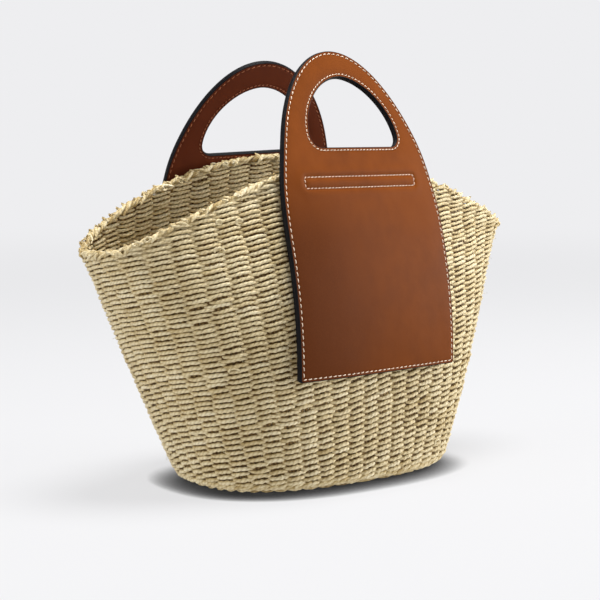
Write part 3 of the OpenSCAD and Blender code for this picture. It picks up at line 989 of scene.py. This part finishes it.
def layer(side, name, plan, top, bottom, rings, outward, materials, top_tone):
    """A closed layer of the tongue. top and bottom are how far its faces lie from the middle surface, and its
    edge goes from one to the other by way of the rings."""
    where, tris, along_lines = plan
    x, y = where.T
    points = [side.point(x, y, outward * top), side.point(x, y, outward * bottom)]
    count = 2 * len(where)
    quads = []
    for line, ids in zip(side.lines, along_lines):
        chain = [ids]
        for inset, level in rings:
            ring = offset(line, inset)
            points.append(side.point(ring[:, 0], ring[:, 1], outward * level))
            chain.append(np.arange(count, count + len(ring)))
            count += len(ring)
        chain.append(ids + len(where))
        for a, b in zip(chain[:-1], chain[1:]):
            quads.append(np.stack([a, b, np.roll(b, -1), np.roll(a, -1)], -1))
    quads = np.concatenate(quads)
    slots = np.repeat([1, 0, 1], [len(quads), len(tris), len(tris)]) if len(materials) > 1 else None
    tris = np.concatenate([tris, tris[:, ::-1] + len(where)])
    if (outward > 0) == side.mirrored:
        quads, tris = quads[:, ::-1], tris[:, ::-1]
    tone = np.ones(count)
    tone[:len(where)] = top_tone
    return make_mesh(name, np.concatenate(points), quads, tris, materials, tone, slots=slots)


def skin(side, name, material, outward, phase):
    """One leather skin with its painted edge, darker along its edges, and with painted shade low down, most
    of all on its left.
    """
    where = side.plan[0]
    x, y = where.T
    burnished = 0.65 * np.exp(-edge_distance(side, where) / 3.0)
    # Painted shade: darker low down, most of all on the left.
    shade_low_left = 0.25 + 0.7 * (1 - smooth((x + PANEL_W / 2 - 4) / 125))
    tone = np.maximum(burnished, shade_low_left * smooth((10 - y) / 90))
    face = HALF_STACK + relief(side, where, phase)
    return layer(side, name, side.plan, face, HALF_BOARD, SKIN_RINGS, outward, [material, EDGE], tone)


def board(side, name):
    """The stiffening board, whose painted edge shows between the skins."""
    return layer(side, name, side.rough_plan, HALF_BOARD, -HALF_BOARD, BOARD_RINGS, 1, [EDGE], 1)


def stitches(side, name, line, stitch, outward, rng, lift=STITCH_LIFT):
    """Separate stitches along a closed line: each dips into the leather at both ends and leans a little."""
    pitch, length = stitch
    tubes = Tubes(6, 0, gap_shade=0)
    phase = side.phase if outward > 0 else side.phase + 1
    ends = np.concatenate([line, line[:1]])
    run = run_along(ends)
    count = int(round(run[-1] / pitch))
    share = np.linspace(-1, 1, 7)
    thick = THREAD_R * np.array([0.55, 0.85, 1, 1.04, 1, 0.85, 0.55])
    for k in range(count):
        at = (k + 0.5) * run[-1] / count + share * length / 2
        p = np.stack([np.interp(at, run, ends[:, i]) for i in (0, 1)], -1)
        along = unit(p[-1:] - p[:1])
        across = np.stack([-along[:, 1], along[:, 0]], -1)
        p = p + across * share[:, None] * STITCH_LEAN * length / 2
        high = HALF_STACK + relief(side, p, phase) + lift * (1 - share**4) - STITCH_DIP * share**4
        centre = side.point(p[:, 0], p[:, 1], outward * high)
        above = side.point(p[:, 0], p[:, 1], outward * (high + 1))
        tubes.add(centre, unit(above - centre), thick * 0.85, thick, np.clip(0.6 + 0.16 * rng.normal(), 0, 1))
    return tubes.make(name, THREAD if outward > 0 else BROWN_THREAD)


def leather_side(side, rng):
    """All the pieces of one tongue. Each follows the tongue's middle surface, which bends from the panel up
    into the handle.
    """
    name = side.name
    side.plan = plan_mesh(side, SKIN_INSET, SKIN_SPACING, True)
    side.rough_plan = plan_mesh(side, BOARD_INSET, BOARD_SPACING, False)
    edge, hole = (offset(line, SEAM_INSET) for line in side.lines)

    def tongue_piece(piece, slot, *nodes):
        side.hinge(-10)
        side.hinge(10)
        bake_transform(piece)
        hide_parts(*(f"{side.name}_{n}" for n in nodes))

    leather = skin(side, f"{name}_tongue_leather", TAN, 1, side.phase)
    tongue_piece(leather, "tan_leather", "panel_leather", "handle_leather")
    lining = skin(side, f"{name}_tongue_lining", SHADED_LINING, -1, side.phase + 1)
    tongue_piece(lining, "inner_leather", "panel_lining", "handle_lining")
    tongue_piece(board(side, f"{name}_tongue_board"), "black_edge", "panel_board", "handle_board")
    outside = stitches(side, f"{name}_edge_stitches", edge, LONG_STITCH, 1, rng)
    tongue_piece(outside, "thread", "panel_stitching", "handle_stitching")
    tongue_piece(stitches(side, f"{name}_inner_stitches", edge, LONG_STITCH, -1, rng), "thread")
    outside = stitches(side, f"{name}_hole_stitches", hole, SHORT_STITCH, 1, rng)
    tongue_piece(outside, "thread", "hole_stitching")
    tongue_piece(stitches(side, f"{name}_inner_hole_stitches", hole, SHORT_STITCH, -1, rng), "thread")
    fixing = stitches(side, f"{name}_fixing_stitches", fixing_line(), SHORT_STITCH, 1, rng, FIXING_LIFT)
    root_piece(fixing, "thread", f"{name}_fixing_stitching")


def leather_tongues():
    rng = np.random.default_rng(SEED + 1)
    leather_side(Side("front", shift=0, drop=0, turn=5.4, roll=0, lean=20.8, hole_shift=3.5,
                      mirrored=False, gap=1.0, phase=0.4), rng)
    leather_side(Side("back", shift=-18, drop=4.5, turn=7.7, roll=2.5, lean=24, hole_shift=0,
                      mirrored=True, gap=2.2, phase=2.1), rng)


# ---------- camera, floor and light

def aim(name, data, place, ahead):
    """Adds a camera or a lamp at a place in metres that looks ahead."""
    obj = bpy.data.objects.new(name, data)
    obj.location = place
    obj.rotation_mode = "QUATERNION"
    obj.rotation_quaternion = ahead.to_track_quat("-Z", "Y")
    bpy.context.scene.collection.objects.link(obj)
    return obj


def camera():
    level = math.cos(CAMERA_PITCH)
    ahead = Vector((math.sin(CAMERA_YAW) * level, math.cos(CAMERA_YAW) * level, -math.sin(CAMERA_PITCH)))
    data = bpy.data.cameras.new("camera")
    data.sensor_width, data.lens = SENSOR, LENS
    data.clip_start, data.clip_end = 0.05, 100
    place = (Vector(CAMERA_TARGET) - ahead * CAMERA_DISTANCE) * MM
    bpy.context.scene.camera = aim("camera", data, place, ahead)


def floor():
    """A pale floor with a painted shadow where the bag's base nearly touches it, that fades into the
    background far away.
    """
    bpy.ops.mesh.primitive_circle_add(vertices=96, radius=30, fill_type="NGON", location=(0, 0, 0))
    plane = bpy.context.object
    plane.name = "floor"
    m = new_material("floor")
    far = m.add("VectorMath", {"operation": "LENGTH"}, i0=m.place()).outputs["Value"]
    fade = m.add("MapRange", {"interpolation_type": "SMOOTHSTEP"}, Value=far, From_Min=0.7, From_Max=3.6)
    # Painted shadow: an occlusion test aimed up towards the back right darkens the floor's colour and its
    # glow near the base.
    toward = m.add("CombineXYZ", X=0.7, Y=0.62, Z=0.36).outputs[0]
    near = m.add("AmbientOcclusion", {"samples": 12}, Distance=0.025, Normal=toward).outputs["AO"]
    open_share = m.math("POWER", near, 3.0)
    m.set(m.shader, "Base Color", m.blend(open_share, (0.01, 0.01, 0.01), (0.56, 0.56, 0.565)))
    m.set(m.shader, "Roughness", 1.0)
    m.set(m.shader, "Specular IOR Level", 0.0)
    shine = m.add("Emission", Color=(*FLOOR, 1), Strength=open_share)
    close = m.add("MixShader", i0=0.75, i1=m.shader.outputs[0], i2=shine.outputs[0])
    glow = m.add("Emission", Color=(*BACKGROUND, 1), Strength=1.0)
    both = m.add("MixShader", i0=fade.outputs[0], i1=close.outputs[0], i2=glow.outputs[0])
    m.set(m.tree.nodes["Material Output"], "Surface", both.outputs[0])
    plane.data.materials.append(m.owner)
    plane.visible_diffuse = False


def light(name, place, target, size, power):
    """A round lamp of a size in metres and a power in watts."""
    data = bpy.data.lights.new(name, "AREA")
    data.shape, data.size, data.energy = "DISK", size, power
    aim(name, data, place, Vector(target) - Vector(place))


def world_light():
    """Bright along the horizon, which the camera sees behind the bag, and dimmer overhead and below."""
    m = Nodes(bpy.data.worlds.new("studio"))
    bpy.context.scene.world = m.owner
    height = m.add("SeparateXYZ", i0=m.add("TexCoord").outputs["Generated"]).outputs[2]
    levels = ((-0.30, FROM_BELOW), (-0.08, 1.0), (0.10, 1.0), (0.32, OVERHEAD), (1.0, OVERHEAD))
    stops = (((z + 1) / 2, [level * c for c in BACKGROUND]) for z, level in levels)
    m.set(m.tree.nodes["Background"], "Color", m.ramp(m.span(height, From_Min=-1.0), *stops))


def studio():
    bpy.context.scene.view_settings.view_transform = "Standard"
    world_light()
    light("top", (0.15, -0.15, 2.2), (0, 0, 0.1), 1.0, 58)
    light("key", (1.9, -1.0, 0.55), (0, 0, 0.08), 1.2, 39)
    light("fill", (0.6, -2.3, 0.3), (0, 0, 0.05), 1.8, 4)
    light("left", (-2.1, 0.3, 0.9), (0, 0, 0.1), 1.4, 16)
    floor()


camera()
woven_body()
leather_tongues()
studio()
